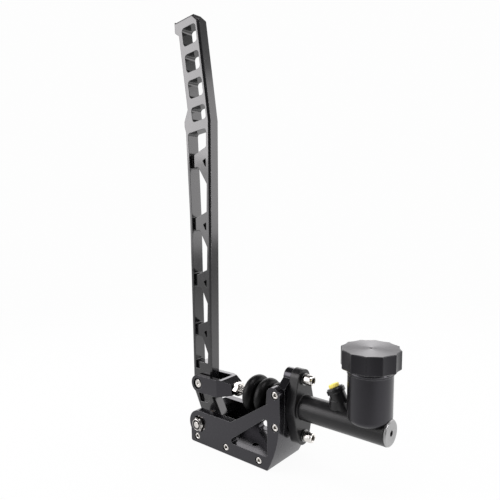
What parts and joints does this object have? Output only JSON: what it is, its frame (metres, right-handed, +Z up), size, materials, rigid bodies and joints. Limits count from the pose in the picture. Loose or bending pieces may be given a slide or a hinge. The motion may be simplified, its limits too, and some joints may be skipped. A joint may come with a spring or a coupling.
{
  "type": "parking brake lever",
  "caption": "Vertical hydraulic handbrake: a truss lever on a plate base pushes a flange-mounted master cylinder with a screw-cap reservoir through a clevis and booted push rod.",
  "frame": {"origin": "centre of the rectangle of base bolt holes, on the underside of the base", "axes": "+X along the master cylinder away from the lever, +Z up, lever swings in the XZ plane"},
  "size_m": [0.2593, 0.0583, 0.449],
  "materials": {
    "black_anodised": "black anodised, satin, fine machining marks",
    "lever_anodised": "black anodised, glossier satin",
    "reservoir_black": "black anodised, satin",
    "cap_black": "black anodised with a turned top",
    "bright_steel": "bright zinc plate",
    "spring_steel": "plain spring steel",
    "dark_steel": "blackened",
    "bronze": "sintered bronze",
    "boot_rubber": "moulded black rubber, slight sheen",
    "seal_rubber": "matt black rubber",
    "plain_aluminium": "machined grey aluminium",
    "nylon": "natural nylon",
    "yellow_plastic": "soft moulded plastic"
  },
  "bodies": {
    "base": {"base_plate": "black_anodised", "side_plate_near": "black_anodised", "side_plate_far": "black_anodised", "upright": "black_anodised", "side_screws": "bright_steel", "pivot_bolt": "bright_steel", "pivot_nut": "bright_steel", "pivot_washers": "bright_steel", "pivot_spacers": "dark_steel", "boot": "boot_rubber", "boot_clip": "spring_steel", "cylinder_body": "black_anodised", "flange_bolts": "bright_steel", "flange_washers": "bright_steel", "stop_washer": "bright_steel", "circlip": "spring_steel", "return_spring": "spring_steel", "spring_seat": "spring_steel", "valve_stem": "spring_steel", "valve_seal": "seal_rubber", "end_plug": "plain_aluminium", "outlet_fitting": "black_anodised", "reservoir": "reservoir_black"},
    "lever": {"lever": "lever_anodised", "pivot_bushes": "bronze", "clevis_bush": "bronze"},
    "pushrod": {"clevis": "black_anodised", "clevis_pin": "bright_steel", "clevis_pin_clip": "spring_steel", "clevis_washers": "nylon", "lock_nut": "bright_steel", "pushrod": "bright_steel"},
    "piston": {"piston": "plain_aluminium", "primary_seal": "seal_rubber", "secondary_seal": "seal_rubber", "spring_thimble": "spring_steel"},
    "gasket": {"cap_gasket": "seal_rubber"},
    "cap": {"reservoir_cap": "cap_black"},
    "plug": {"port_plug": "yellow_plastic"}
  },
  "joints": [
    {"name": "lever_swing", "type": "hinge", "parent": "base", "child": "lever", "pos_m": [-0.041, 0, 0.022], "axis": [0, 1, 0], "range_deg": [0, 22], "stiffness_Nm_per_rad": 2.5, "springref_deg": -13.18, "deforming": ["boot"]},
    {"name": "clevis_swing", "type": "hinge", "parent": "lever", "child": "pushrod", "pos_m": [-0.05498, 0, 0.06001], "axis": [0, 1, 0], "range_deg": [-20.8, 0]},
    {"name": "piston_slide", "type": "slide", "parent": "base", "child": "piston", "axis": [1, 0, 0], "range_m": [0, 0.0154], "deforming": ["return_spring"]},
    {"name": "cap_lift", "type": "slide", "parent": "base", "child": "gasket", "axis": [0, 0, 1], "range_m": [0, 0.0126]},
    {"name": "cap_turn", "type": "hinge", "parent": "gasket", "child": "cap", "pos_m": [0.1497, 0, 0.1258], "axis": [0, 0, 1], "range_deg": [0, 1800]},
    {"name": "plug_pull", "type": "slide", "parent": "base", "child": "plug", "axis": [-0.4695, 0, 0.8829], "range_m": [0, 0.012]}
  ],
  "couplings": [
    {"joint": "clevis_swing", "follows": "lever_swing", "ratio": -0.944},
    {"joint": "piston_slide", "follows": "lever_swing", "m_per_rad": 0.0398},
    {"joint": "cap_lift", "follows": "cap_turn", "m_per_rad": 0.0003979}
  ]
}
